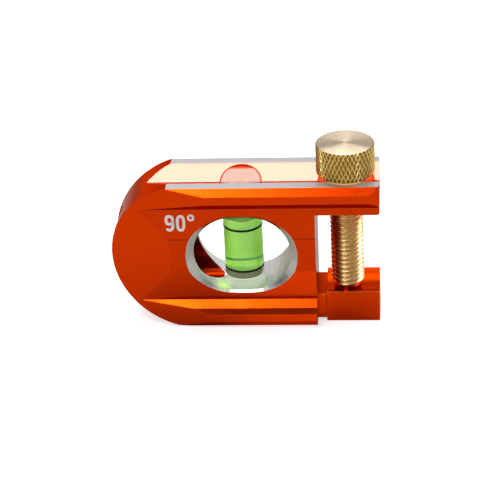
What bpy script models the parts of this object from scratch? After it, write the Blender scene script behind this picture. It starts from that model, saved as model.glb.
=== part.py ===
"""Conduit bending level: a machined body with a V groove, an upright vial and a thumbscrew clamp.

Lengths are in metres and +Z is up. X runs along the body towards the clamp, Y runs away from the
viewer, and the origin lies under the middle of the body, on the surface that it stands on.
"""
import math

import bmesh
import bpy
from mathutils import Vector

MM = 0.001

# Body, overall sizes.
BODY_LENGTH = 80.0 * MM
BODY_HEIGHT = 46.4 * MM
BODY_DEPTH = 24.0 * MM
LAND_CUT = 0.74 * MM

# Body, the relief of the front face, from the top down and mirrored to the back.
TOP_CHAMFER = 2.0 * MM
TOP_BAND = 2.5 * MM
UPPER_STEP_DROP = 3.15 * MM
UPPER_WAIST_RECESS = 3.45 * MM
MIDDLE_FACET_RECESS = 1.85 * MM
MIDDLE_FACET_HEIGHT = 10.8 * MM
MIDDLE_FACET_BASE = 18.6 * MM
LOWER_STEP_RISE = 1.65 * MM
LOWER_WAIST_RECESS = 3.55 * MM
LOWER_EASE_RISE = 1.7 * MM
LOWER_EASE_RECESS = 0.9 * MM
BOTTOM_BAND = 2.4 * MM
BOTTOM_CHAMFER_HEIGHT = 2.5 * MM
BOTTOM_CHAMFER_RECESS = 2.0 * MM

# Body, the taper of the round end, seen from above.
END_TAPER_LENGTH = 28.9 * MM
END_TAPER_RECESS = 4.9 * MM

# Body, the V groove along the top.
LAND_WIDTH = 3.4 * MM
GROOVE_DEPTH = 2.85 * MM

# Clamp end: arm above, relief neck and saddle jaw below.
CLAMP_LENGTH = 19.0 * MM
ARM_THICKNESS = 9.8 * MM
ARM_CORNER_RADIUS = 3.8 * MM
ARM_END_EASE = 0.8 * MM
NECK_LENGTH = 2.7 * MM
NECK_SIDE_STEP = 0.7 * MM
NECK_TOP_STEP = 1.2 * MM
NECK_UNDERCUT = 0.7 * MM
JAW_DEPTH = 14.8 * MM
JAW_HEIGHT = 10.0 * MM
SADDLE_DEPTH = 1.2 * MM
SADDLE_RIM = 0.35 * MM
JAW_SETBACK = 0.3 * MM

# Window through the body, flared at 45 degrees from a set depth outwards.
WINDOW_RADIUS = 12.15 * MM
WINDOW_HALF_STRAIGHT = 2.4 * MM
WINDOW_FLARE_DEPTH = 3.8 * MM
WINDOW_RAISE = 0.4 * MM
WEB_WIDTH = 7.45 * MM

# Sight slot from the round end into the window.
SIGHT_SLOT_WIDTH = 13.2 * MM
SIGHT_SLOT_HEIGHT = 23.5 * MM

# Vial and what closes its bore.
VIAL_BORE_RADIUS = 6.25 * MM
VIAL_BORE_CLEARANCE = 0.35 * MM
VIAL_FLOOR_CLEARANCE = 1.75 * MM
VIAL_EDGE_CHAMFER = 0.3 * MM
VIAL_WALL = 1.3 * MM
CHAMBER_BASE = 2.9 * MM
VIAL_PLUG_LENGTH = 3.0 * MM
LIQUID_SLEEVE = 0.8 * MM
BUBBLE_LENGTH = 6.6 * MM
RING_SPACING = 13.8 * MM
LOWER_RING_RISE = 2.95 * MM
RING_WIDTH = 0.4 * MM
RING_THICKNESS = 0.15 * MM
RING_FIT_GAP = 0.05 * MM
BORE_PLUG_LAND_DROP = 0.8 * MM
BORE_PLUG_ROOT_THICKNESS = 1.75 * MM

# Thumbscrew, an M10 x 1.5 right-hand thread with a knurled head.
SCREW_RADIUS = 4.95 * MM
THREAD_PITCH = 1.5 * MM
THREAD_DEPTH = 0.85 * MM
SCREW_X_FROM_END = 9.95 * MM
TIP_LENGTH = 1.1 * MM
TIP_CHAMFER = 0.9 * MM
TIP_CLEARANCE = 0.2 * MM
HEAD_RADIUS = 8.7 * MM
HEAD_HEIGHT = 9.3 * MM
HEAD_EASE = 0.35 * MM
KNURL_DEPTH = 0.3 * MM
KNURL_ROWS = 9
KNURL_COLUMNS = 54

# Shared fits and counts.
GAP = 0.3 * MM
OVERRUN = 2.0 * MM
END_ARC_STEPS = 44
WINDOW_ARC_STEPS = 22
SLOT_ARC_STEPS = 14
CORNER_ARC_STEPS = 8
SADDLE_ARC_STEPS = 12
ROUND_STEPS = 40
THREAD_STEPS = 24
THREAD_RUNOUT_ROWS = 5
BUBBLE_RINGS = 9

# Places worked out from the sizes above.
LEFT_X = -BODY_LENGTH / 2
RIGHT_X = BODY_LENGTH / 2
STOP_FACE_X = RIGHT_X - CLAMP_LENGTH
END_RADIUS = (BODY_HEIGHT + LAND_CUT) / 2
END_CENTRE_X = LEFT_X + END_RADIUS
HALF_DEPTH = BODY_DEPTH / 2
LAND_OUTER_Y = HALF_DEPTH - TOP_CHAMFER
LAND_INNER_Y = LAND_OUTER_Y - LAND_WIDTH
GROOVE_ROOT_Z = BODY_HEIGHT - GROOVE_DEPTH
ARM_UNDERSIDE_Z = BODY_HEIGHT - ARM_THICKNESS
JAW_START_X = STOP_FACE_X + NECK_LENGTH
NECK_TOP_Z = JAW_HEIGHT - NECK_TOP_STEP
SADDLE_FLOOR_Z = JAW_HEIGHT - SADDLE_DEPTH
TIP_END_RADIUS = SCREW_RADIUS - TIP_CHAMFER
TROUGH_HALF_WIDTH = JAW_DEPTH / 2 - SADDLE_RIM
TROUGH_RADIUS = (TROUGH_HALF_WIDTH ** 2 + SADDLE_DEPTH ** 2) / (2 * SADDLE_DEPTH)
TROUGH_RISE_AT_TIP = TROUGH_RADIUS - math.sqrt(TROUGH_RADIUS ** 2 - TIP_END_RADIUS ** 2)
WINDOW_CENTRE_X = STOP_FACE_X - WEB_WIDTH - WINDOW_RADIUS - WINDOW_HALF_STRAIGHT
WINDOW_CENTRE_Z = BODY_HEIGHT / 2 + WINDOW_RAISE
VIAL_RADIUS = VIAL_BORE_RADIUS - VIAL_BORE_CLEARANCE
VIAL_BASE_Z = WINDOW_CENTRE_Z - WINDOW_RADIUS + VIAL_FLOOR_CLEARANCE
VIAL_TOP_Z = GROOVE_ROOT_Z - BORE_PLUG_ROOT_THICKNESS - GAP
CHAMBER_RADIUS = VIAL_RADIUS - VIAL_WALL
LIQUID_BORE_RADIUS = CHAMBER_RADIUS - GAP - LIQUID_SLEEVE
BUBBLE_RADIUS = LIQUID_BORE_RADIUS - GAP
CHAMBER_FLOOR_Z = VIAL_BASE_Z + CHAMBER_BASE
VIAL_PLUG_BASE_Z = VIAL_TOP_Z - VIAL_PLUG_LENGTH
LOWER_RING_Z = VIAL_BASE_Z + LOWER_RING_RISE
UPPER_RING_Z = LOWER_RING_Z + RING_SPACING
SCREW_X = RIGHT_X - SCREW_X_FROM_END
SCREW_TIP_Z = SADDLE_FLOOR_Z + TROUGH_RISE_AT_TIP + TIP_CLEARANCE
THREAD_BASE_Z = SCREW_TIP_Z + TIP_LENGTH
HEAD_BASE_Z = BODY_HEIGHT + GAP


def clear_scene():
    """Remove every object that the scene starts with."""
    for obj in list(bpy.data.objects):
        bpy.data.objects.remove(obj, do_unlink=True)


def make_material(name, colour, roughness, metallic, transmission=0.0):
    """Make a Principled material with one plain finish."""
    material = bpy.data.materials.new(name)
    material.use_nodes = True
    shader = material.node_tree.nodes["Principled BSDF"]
    shader.inputs["Base Color"].default_value = (*colour, 1.0)
    shader.inputs["Roughness"].default_value = roughness
    shader.inputs["Metallic"].default_value = metallic
    shader.inputs["Transmission Weight"].default_value = transmission
    material.diffuse_color = (*colour, 1.0)
    return material


def object_from_bmesh(name, bm, material=None, smooth_angle=None):
    """Turn a bmesh into a linked object, and shade it smooth up to an angle if one is given."""
    bmesh.ops.recalc_face_normals(bm, faces=bm.faces)
    mesh = bpy.data.meshes.new(name)
    bm.to_mesh(mesh)
    bm.free()
    if smooth_angle is not None:
        mesh.shade_smooth()
        mesh.set_sharp_from_angle(angle=smooth_angle)
    if material is not None:
        mesh.materials.append(material)
    obj = bpy.data.objects.new(name, mesh)
    bpy.context.scene.collection.objects.link(obj)
    return obj


def prism(name, outline, axis, low, high, material=None):
    """Extrude a flat outline along one axis, from low to high.

    The outline's pairs are (y, z) for axis 'X', (x, z) for axis 'Y' and (x, y) for axis 'Z'.
    """
    bm = bmesh.new()
    place = {
        "X": lambda a, b, c: Vector((c, a, b)),
        "Y": lambda a, b, c: Vector((a, c, b)),
        "Z": lambda a, b, c: Vector((a, b, c)),
    }[axis]
    first = [bm.verts.new(place(a, b, low)) for a, b in outline]
    second = [bm.verts.new(place(a, b, high)) for a, b in outline]
    count = len(outline)
    bm.faces.new(first)
    bm.faces.new(second)
    for i in range(count):
        j = (i + 1) % count
        bm.faces.new((first[i], first[j], second[j], second[i]))
    return object_from_bmesh(name, bm, material)


def lathe(name, profile, steps, material=None, smooth_angle=math.radians(40)):
    """Turn (radius, height) pairs round the Z axis; a pair of radius zero closes on the axis."""
    bm = bmesh.new()
    rings = []
    for radius, height in profile:
        if radius == 0:
            rings.append([bm.verts.new((0, 0, height))])
            continue
        ring = []
        for k in range(steps):
            angle = 2 * math.pi * k / steps
            ring.append(bm.verts.new((radius * math.cos(angle), radius * math.sin(angle), height)))
        rings.append(ring)
    closed_profile = profile[0][0] != 0
    pairs = list(zip(rings, rings[1:]))
    if closed_profile:
        pairs.append((rings[-1], rings[0]))
    for lower, upper in pairs:
        for k in range(steps):
            n = (k + 1) % steps
            corners = [lower[k % len(lower)], lower[n % len(lower)]]
            corners += [upper[n % len(upper)], upper[k % len(upper)]]
            unique = list(dict.fromkeys(corners))
            if len(unique) > 2:
                bm.faces.new(unique)
    return object_from_bmesh(name, bm, material, smooth_angle)


def arc_points(centre, radius, start, end, steps):
    """Points on an arc, both ends included; angles are in radians."""
    points = []
    for k in range(steps + 1):
        angle = start + (end - start) * k / steps
        points.append((centre[0] + radius * math.cos(angle), centre[1] + radius * math.sin(angle)))
    return points


def boolean(target, cutter, operation):
    """Add an exact Boolean modifier, and keep its cutter out of the model."""
    modifier = target.modifiers.new(cutter.name, "BOOLEAN")
    modifier.operation = operation
    modifier.solver = "EXACT"
    modifier.object = cutter
    cutter.hide_render = True
    cutter.display_type = "WIRE"


def apply_modifiers(obj):
    """Replace the object's mesh by what its modifiers make of it."""
    graph = bpy.context.evaluated_depsgraph_get()
    evaluated = obj.evaluated_get(graph)
    mesh = bpy.data.meshes.new_from_object(evaluated)
    obj.modifiers.clear()
    obj.data = mesh


def relief_points():
    """(height, recess) pairs of the front face from the bottom up, as the groove's side shows it."""
    ease_base = BOTTOM_CHAMFER_HEIGHT + BOTTOM_BAND
    step_base = ease_base + LOWER_EASE_RISE
    band_base = BODY_HEIGHT - TOP_CHAMFER - TOP_BAND
    return [
        (0, BOTTOM_CHAMFER_RECESS),
        (BOTTOM_CHAMFER_HEIGHT, 0),
        (ease_base, 0),
        (step_base, LOWER_EASE_RECESS),
        (step_base + LOWER_STEP_RISE, LOWER_WAIST_RECESS),
        (MIDDLE_FACET_BASE, MIDDLE_FACET_RECESS),
        (MIDDLE_FACET_BASE + MIDDLE_FACET_HEIGHT, MIDDLE_FACET_RECESS),
        (band_base - UPPER_STEP_DROP, UPPER_WAIST_RECESS),
        (band_base, 0),
        (BODY_HEIGHT - TOP_CHAMFER, 0),
        (BODY_HEIGHT, TOP_CHAMFER),
    ]


def body_profile():
    """Cross-section of the body, (y, z): front relief up, the V groove, back relief down."""
    front = [(-(HALF_DEPTH - recess), height) for height, recess in relief_points()]
    groove = [(-LAND_INNER_Y, BODY_HEIGHT), (0, GROOVE_ROOT_Z), (LAND_INNER_Y, BODY_HEIGHT)]
    back = [(-y, z) for y, z in reversed(front)]
    return front + groove + back


def side_outline():
    """Side view of the body and arm, (x, z), without the jaw.

    The round end is tangent to the base, and the lands are milled across it a little below its top.
    """
    land_angle = math.pi - math.asin((BODY_HEIGHT - END_RADIUS) / END_RADIUS)
    end = arc_points((END_CENTRE_X, END_RADIUS), END_RADIUS, land_angle, math.pi * 1.5, END_ARC_STEPS)
    ease = arc_points(
        (RIGHT_X - ARM_END_EASE, ARM_UNDERSIDE_Z + ARM_END_EASE),
        ARM_END_EASE, -math.pi / 2, 0, CORNER_ARC_STEPS // 2,
    )
    return end + [(STOP_FACE_X, 0), (STOP_FACE_X, ARM_UNDERSIDE_Z)] + ease + [(RIGHT_X, BODY_HEIGHT)]


def plan_outline():
    """View from above, (x, y): the end taper on the left and rounded corners on the right."""
    taper_x = LEFT_X + END_TAPER_LENGTH
    end_y = HALF_DEPTH - END_TAPER_RECESS
    corner = arc_points(
        (RIGHT_X - ARM_CORNER_RADIUS, -HALF_DEPTH + ARM_CORNER_RADIUS),
        ARM_CORNER_RADIUS, -math.pi / 2, 0, CORNER_ARC_STEPS,
    )
    front = [(LEFT_X, -end_y), (taper_x, -HALF_DEPTH)] + corner
    back = [(x, -y) for x, y in reversed(front)]
    return front + back


def window_cutter():
    """Solid of the window: a stadium through the body that widens at 45 degrees to both faces."""
    flare = WINDOW_FLARE_DEPTH + OVERRUN
    inner_y = HALF_DEPTH - WINDOW_FLARE_DEPTH
    outer_y = HALF_DEPTH + OVERRUN
    bm = bmesh.new()
    rings = []
    for y, widening in ((-outer_y, flare), (-inner_y, 0), (inner_y, 0), (outer_y, flare)):
        radius = WINDOW_RADIUS + widening
        right = (WINDOW_CENTRE_X + WINDOW_HALF_STRAIGHT, WINDOW_CENTRE_Z)
        left = (WINDOW_CENTRE_X - WINDOW_HALF_STRAIGHT, WINDOW_CENTRE_Z)
        outline = arc_points(right, radius, -math.pi / 2, math.pi / 2, WINDOW_ARC_STEPS)
        outline += arc_points(left, radius, math.pi / 2, math.pi * 1.5, WINDOW_ARC_STEPS)
        rings.append([bm.verts.new((x, y, z)) for x, z in outline])
    bm.faces.new(rings[0])
    bm.faces.new(rings[-1])
    for near, far in zip(rings, rings[1:]):
        for i in range(len(near)):
            j = (i + 1) % len(near)
            bm.faces.new((near[i], near[j], far[j], far[i]))
    return object_from_bmesh("window_cutter", bm)


def sight_slot_cutter():
    """Upright slot with round ends, cut along X from the round end into the window."""
    half_width = SIGHT_SLOT_WIDTH / 2
    rise = SIGHT_SLOT_HEIGHT / 2 - half_width
    centre = WINDOW_CENTRE_Z
    top = arc_points((0, centre + rise), half_width, 0, math.pi, SLOT_ARC_STEPS)
    bottom = arc_points((0, centre - rise), half_width, math.pi, 2 * math.pi, SLOT_ARC_STEPS)
    return prism("sight_slot_cutter", top + bottom, "X", LEFT_X - OVERRUN, WINDOW_CENTRE_X)


def round_cutter(name, x, radius, low, high):
    """Upright cylinder for a bore."""
    outline = arc_points((x, 0), radius, 0, 2 * math.pi, ROUND_STEPS)[:-1]
    return prism(name, outline, "Z", low, high)


def jaw_solid():
    """Lower jaw, a block whose top is a shallow trough that centres the conduit."""
    half = JAW_DEPTH / 2
    half_angle = math.asin(TROUGH_HALF_WIDTH / TROUGH_RADIUS)
    centre = (0, SADDLE_FLOOR_Z + TROUGH_RADIUS)
    start = -math.pi / 2 - half_angle
    trough = arc_points(centre, TROUGH_RADIUS, start, start + 2 * half_angle, SADDLE_ARC_STEPS)
    outline = [(-half, 0), (-half, JAW_HEIGHT)] + trough + [(half, JAW_HEIGHT), (half, 0)]
    return prism("jaw_solid", outline, "X", JAW_START_X, RIGHT_X - JAW_SETBACK)


def neck_solid():
    """Relief neck that joins the jaw to the web; it runs into both."""
    half = JAW_DEPTH / 2 - NECK_SIDE_STEP
    outline = [(-half, NECK_UNDERCUT), (half, NECK_UNDERCUT), (half, NECK_TOP_Z), (-half, NECK_TOP_Z)]
    return prism("neck_solid", outline, "X", STOP_FACE_X - OVERRUN, JAW_START_X + OVERRUN / 2)


def make_level_body(material):
    """One machined block: profile, side view and plan meet, then the openings are cut."""
    body = prism("level_body", body_profile(), "X", LEFT_X - OVERRUN, RIGHT_X + OVERRUN, material)
    side = prism("side_limit", side_outline(), "Y", -HALF_DEPTH - OVERRUN, HALF_DEPTH + OVERRUN)
    plan = prism("plan_limit", plan_outline(), "Z", -OVERRUN, BODY_HEIGHT + OVERRUN)
    boolean(body, side, "INTERSECT")
    boolean(body, plan, "INTERSECT")
    boolean(body, window_cutter(), "DIFFERENCE")
    boolean(body, sight_slot_cutter(), "DIFFERENCE")
    top = BODY_HEIGHT + OVERRUN
    vial_bore = round_cutter("vial_bore", WINDOW_CENTRE_X, VIAL_BORE_RADIUS, WINDOW_CENTRE_Z, top)
    boolean(body, vial_bore, "DIFFERENCE")
    screw_radius = SCREW_RADIUS + GAP
    screw_bore = round_cutter("screw_bore", SCREW_X, screw_radius, ARM_UNDERSIDE_Z - OVERRUN, top)
    boolean(body, screw_bore, "DIFFERENCE")
    boolean(body, neck_solid(), "UNION")
    boolean(body, jaw_solid(), "UNION")
    return body


def make_bore_plug(material):
    """Plug over the vial: it fills the bore up to the groove's own V, and stops below the lands."""
    radius = VIAL_BORE_RADIUS - GAP / 2
    outline = arc_points((WINDOW_CENTRE_X, 0), radius, 0, 2 * math.pi, ROUND_STEPS)[:-1]
    plug = prism("bore_plug", outline, "Z", VIAL_TOP_Z + GAP, BODY_HEIGHT, material)
    flat_z = BODY_HEIGHT - BORE_PLUG_LAND_DROP
    rise_per_y = GROOVE_DEPTH / LAND_INNER_Y
    flat_y = (flat_z - GROOVE_ROOT_Z) / rise_per_y
    reach = VIAL_BORE_RADIUS + OVERRUN
    sky = BODY_HEIGHT + OVERRUN
    outline = [(-reach, flat_z), (-flat_y, flat_z), (0, GROOVE_ROOT_Z)]
    outline += [(flat_y, flat_z), (reach, flat_z), (reach, sky), (-reach, sky)]
    cut = prism("plug_groove", outline, "X", WINDOW_CENTRE_X - reach, WINDOW_CENTRE_X + reach)
    boolean(plug, cut, "DIFFERENCE")
    return plug


def at_vial(obj):
    """Stand a turned piece on the vial's axis."""
    obj.location = (WINDOW_CENTRE_X, 0, 0)
    return obj


def make_vial_barrel(material):
    """Clear acrylic cup, drilled from the top, with eased outer edges."""
    ease = VIAL_EDGE_CHAMFER
    profile = [
        (0, VIAL_BASE_Z),
        (VIAL_RADIUS - ease, VIAL_BASE_Z),
        (VIAL_RADIUS, VIAL_BASE_Z + ease),
        (VIAL_RADIUS, VIAL_TOP_Z - ease),
        (VIAL_RADIUS - ease, VIAL_TOP_Z),
        (CHAMBER_RADIUS, VIAL_TOP_Z),
        (CHAMBER_RADIUS, CHAMBER_FLOOR_Z),
        (0, CHAMBER_FLOOR_Z),
    ]
    return at_vial(lathe("vial_barrel", profile, ROUND_STEPS, material))


def make_vial_plug(material):
    """Plug that closes the chamber, seated in the barrel's mouth."""
    radius = CHAMBER_RADIUS - GAP
    profile = [(0, VIAL_PLUG_BASE_Z), (radius, VIAL_PLUG_BASE_Z), (radius, VIAL_TOP_Z), (0, VIAL_TOP_Z)]
    return at_vial(lathe("vial_plug", profile, ROUND_STEPS, material))


def make_vial_liquid(material):
    """Liquid in the chamber, with the open way up its middle that the bubble moves in."""
    radius = CHAMBER_RADIUS - GAP
    low = CHAMBER_FLOOR_Z + GAP
    high = VIAL_PLUG_BASE_Z - GAP
    profile = [(radius, low), (radius, high), (LIQUID_BORE_RADIUS, high), (LIQUID_BORE_RADIUS, low)]
    return at_vial(lathe("vial_liquid", profile, ROUND_STEPS, material))


def make_vial_bubble(material):
    """Bubble under the plug: a long drop, an ellipsoid of turned rings."""
    centre_z = VIAL_PLUG_BASE_Z - GAP - BUBBLE_LENGTH / 2
    profile = []
    for k in range(BUBBLE_RINGS + 1):
        angle = -math.pi / 2 + math.pi * k / BUBBLE_RINGS
        radius = 0 if k in (0, BUBBLE_RINGS) else BUBBLE_RADIUS * math.cos(angle)
        profile.append((radius, BUBBLE_LENGTH / 2 * math.sin(angle)))
    bubble = lathe("vial_bubble", profile, ROUND_STEPS // 2, material, math.pi)
    bubble.location = (WINDOW_CENTRE_X, 0, centre_z)
    return bubble


def make_vial_ring(name, height, material):
    """Line round the barrel that the bubble is read against."""
    inner = VIAL_RADIUS + RING_FIT_GAP
    outer = inner + RING_THICKNESS
    low = height - RING_WIDTH / 2
    high = height + RING_WIDTH / 2
    profile = [(outer, low), (outer, high), (inner, high), (inner, low)]
    return at_vial(lathe(name, profile, ROUND_STEPS, material))


def thread_radius(turns):
    """Radius of the thread at a height counted in pitches above a crest: a plain V."""
    offset = abs(turns - round(turns))
    return SCREW_RADIUS - THREAD_DEPTH * offset * 2


def thread_solid(low, high):
    """Right-hand thread: rows follow crest and root round the shank, and the ends are cut flat.

    Column j of the grid is raised by j / columns of a pitch, so that two rows make one turn of
    the helix. Rows past an end are drawn back to it, where the profile's own radius is kept.
    """
    columns = THREAD_STEPS
    rows = math.ceil((high - low) / THREAD_PITCH) * 2 + THREAD_RUNOUT_ROWS
    bm = bmesh.new()
    grid = []
    for j in range(columns + 1):
        angle = 2 * math.pi * j / columns
        column = []
        for k in range(rows):
            climb = (k - 2) * THREAD_PITCH / 2 + j * THREAD_PITCH / columns
            height = min(max(low + climb, low), high)
            turns = (height - low) / THREAD_PITCH - j / columns
            radius = thread_radius(turns)
            column.append(bm.verts.new((radius * math.cos(angle), radius * math.sin(angle), height)))
        grid.append(column)
    for j in range(columns):
        for k in range(rows - 1):
            corners = (grid[j][k], grid[j + 1][k], grid[j + 1][k + 1], grid[j][k + 1])
            bm.faces.new(corners)
    bmesh.ops.remove_doubles(bm, verts=bm.verts, dist=THREAD_PITCH / 1000)
    bmesh.ops.dissolve_degenerate(bm, edges=bm.edges, dist=THREAD_PITCH / 1000)
    edges = [edge for edge in bm.edges if edge.is_boundary]
    bmesh.ops.holes_fill(bm, edges=edges, sides=0)
    bmesh.ops.triangulate(bm, faces=bm.faces)
    return object_from_bmesh("thread", bm)


def knurled_head(low, material):
    """Head of the thumbscrew: a turned disc whose rim rises and falls in a diamond pattern."""
    high = low + HEAD_HEIGHT
    bm = bmesh.new()
    rings = []
    knurl_low = low + HEAD_EASE
    knurl_high = high - HEAD_EASE
    rim_radius = HEAD_RADIUS - HEAD_EASE
    levels = [(rim_radius, low, False)]
    for k in range(KNURL_ROWS):
        height = knurl_low + (knurl_high - knurl_low) * k / (KNURL_ROWS - 1)
        levels.append((HEAD_RADIUS, height, True))
    levels.append((rim_radius, high, False))
    for index, (radius, height, knurled) in enumerate(levels):
        ring = []
        for j in range(KNURL_COLUMNS):
            angle = 2 * math.pi * j / KNURL_COLUMNS
            valley = knurled and (index + j) % 2
            r = radius - (KNURL_DEPTH if valley else 0)
            ring.append(bm.verts.new((r * math.cos(angle), r * math.sin(angle), height)))
        rings.append(ring)
    for lower, upper in zip(rings, rings[1:]):
        for j in range(KNURL_COLUMNS):
            n = (j + 1) % KNURL_COLUMNS
            bm.faces.new((lower[j], lower[n], upper[n], upper[j]))
    bm.faces.new(rings[0][::-1])
    bm.faces.new(rings[-1])
    bmesh.ops.triangulate(bm, faces=bm.faces)
    return object_from_bmesh("thumb_screw", bm, material)


def make_thumb_screw(material):
    """Knurled head and threaded shank, turned in one piece; its origin is on the screw's axis."""
    screw = knurled_head(HEAD_BASE_Z, material)
    thread = thread_solid(THREAD_BASE_Z + GAP, HEAD_BASE_Z + HEAD_EASE)
    boolean(screw, thread, "UNION")
    apply_modifiers(screw)
    bpy.data.objects.remove(thread, do_unlink=True)
    screw.location = (SCREW_X, 0, 0)
    return screw


def make_screw_tip(material):
    """Plain chamfered end of the same screw, which presses on the conduit."""
    shoulder = SCREW_RADIUS - THREAD_DEPTH / 2
    profile = [
        (0, SCREW_TIP_Z),
        (TIP_END_RADIUS, SCREW_TIP_Z),
        (shoulder, THREAD_BASE_Z),
        (0, THREAD_BASE_Z),
    ]
    tip = lathe("screw_tip", profile, THREAD_STEPS, material)
    tip.location = (SCREW_X, 0, 0)
    return tip


def build():
    """Make every piece of the level."""
    clear_scene()
    anodised = make_material("orange_anodised_aluminium", (0.60, 0.045, 0.003), 0.32, 0.85)
    brass = make_material("turned_brass", (0.66, 0.50, 0.24), 0.30, 1.0)
    acrylic = make_material("clear_acrylic", (0.95, 0.97, 0.93), 0.05, 0.0, 1.0)
    liquid = make_material("yellow_green_liquid", (0.42, 0.80, 0.10), 0.05, 0.0, 0.9)
    air = make_material("air_bubble", (0.85, 0.95, 0.80), 0.05, 0.0, 1.0)
    ink = make_material("black_ink", (0.01, 0.01, 0.01), 0.5, 0.0)
    resin = make_material("pale_pink_resin", (0.92, 0.62, 0.50), 0.35, 0.0)
    make_level_body(anodised)
    make_bore_plug(resin)
    make_vial_barrel(acrylic)
    make_vial_plug(acrylic)
    make_vial_liquid(liquid)
    make_vial_bubble(air)
    make_vial_ring("vial_ring_lower", LOWER_RING_Z, ink)
    make_vial_ring("vial_ring_upper", UPPER_RING_Z, ink)
    make_thumb_screw(brass)
    make_screw_tip(brass)


build()
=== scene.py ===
# %% [markdown]
# # A pocket level for bending conduit
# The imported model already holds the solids: an orange block with a V groove, an upright bubble
# vial in a round window, and a knurled brass screw in a clamp. This script gives every surface
# its finish, swaps the screw and the vial for finer surfaces, and sets up a small studio.
# Every length is in metres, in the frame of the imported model: +X runs along the block towards
# the clamp, +Y away from the front face, and +Z up.

# %% Frame and size
import math

import bmesh
import bpy
import numpy as np
from mathutils import Matrix, Vector


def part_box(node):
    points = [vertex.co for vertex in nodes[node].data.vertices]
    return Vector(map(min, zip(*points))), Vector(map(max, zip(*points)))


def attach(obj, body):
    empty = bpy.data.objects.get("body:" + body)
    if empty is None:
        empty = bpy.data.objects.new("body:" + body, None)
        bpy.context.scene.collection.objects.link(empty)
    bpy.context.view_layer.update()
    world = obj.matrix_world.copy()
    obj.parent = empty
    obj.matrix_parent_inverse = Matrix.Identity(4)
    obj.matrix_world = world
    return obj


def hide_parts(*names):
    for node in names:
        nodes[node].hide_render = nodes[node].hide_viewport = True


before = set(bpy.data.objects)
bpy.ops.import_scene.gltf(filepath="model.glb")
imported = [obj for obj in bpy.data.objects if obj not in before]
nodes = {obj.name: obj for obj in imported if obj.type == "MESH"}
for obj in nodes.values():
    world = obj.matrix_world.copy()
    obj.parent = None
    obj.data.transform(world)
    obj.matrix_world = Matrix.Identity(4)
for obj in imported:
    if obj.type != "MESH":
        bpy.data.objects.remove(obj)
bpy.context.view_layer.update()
MM = 0.001
print("nodes:", sorted(nodes))

# %% [markdown]
# ## The camera
# A product picture like this one is taken with a long lens, a little above the object. The
# camera's place could be guessed by eye. Here it was solved from the block's long edges and from
# the round outlines of the screw's head and the vial's rings, so it is given as a direction, a
# distance and a small roll, and turned into a matrix whose columns are the camera's right, up
# and backward directions.

# %% Camera
VIEW_RISE = math.radians(28.56)
VIEW_SWING = math.radians(5.36)
VIEW_ROLL = math.radians(3.04)
VIEW_FIELD = math.radians(13.52)
VIEW_DISTANCE = 608.1 * MM
VIEW_TARGET = Vector((-0.30, 0.0, 23.58)) * MM
VIEW_SHIFT_RIGHT = 1.802 * MM
VIEW_SHIFT_UP = -0.216 * MM


def aim_camera():
    """Unit vectors: right and up lie across the view, back points from the object to the lens.

    right and up are then rolled about back, and the lens is the target plus distance times back.
    """
    level_right = Vector((math.cos(VIEW_SWING), math.sin(VIEW_SWING), 0))
    back = Vector((math.sin(VIEW_SWING) * math.cos(VIEW_RISE),
                   -math.cos(VIEW_SWING) * math.cos(VIEW_RISE), math.sin(VIEW_RISE)))
    level_up = back.cross(level_right)
    right = math.cos(VIEW_ROLL) * level_right - math.sin(VIEW_ROLL) * level_up
    up = math.sin(VIEW_ROLL) * level_right + math.cos(VIEW_ROLL) * level_up
    place = VIEW_TARGET - VIEW_SHIFT_RIGHT * right - VIEW_SHIFT_UP * up + VIEW_DISTANCE * back
    turn = Matrix((right, up, back)).transposed().to_4x4()
    data = bpy.data.cameras.new("camera")
    data.sensor_fit = "HORIZONTAL"
    data.angle = VIEW_FIELD
    data.clip_start = 10 * MM
    data.clip_end = 20.0
    camera = bpy.data.objects.new("camera", data)
    camera.matrix_world = Matrix.Translation(place) @ turn
    bpy.context.scene.collection.objects.link(camera)
    bpy.context.scene.camera = camera
    return camera


camera = aim_camera()
print("camera at", [round(v, 4) for v in camera.matrix_world.translation])

# %% [markdown]
# ## Short calls for node graphs
# A material, a world and a floor are all graphs of nodes. Each node could be made and linked in
# full, but three lines a node hide the idea. So a small class adds a node, feeds it numbers or
# links, and returns the socket that comes out. A mask is a number from 0 to 1, so the product of
# several masks holds only where every one of them does.

# %% Node helpers
BLACK = (0.0, 0.0, 0.0, 1)
WHITE = (1, 1, 1, 1)


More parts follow.
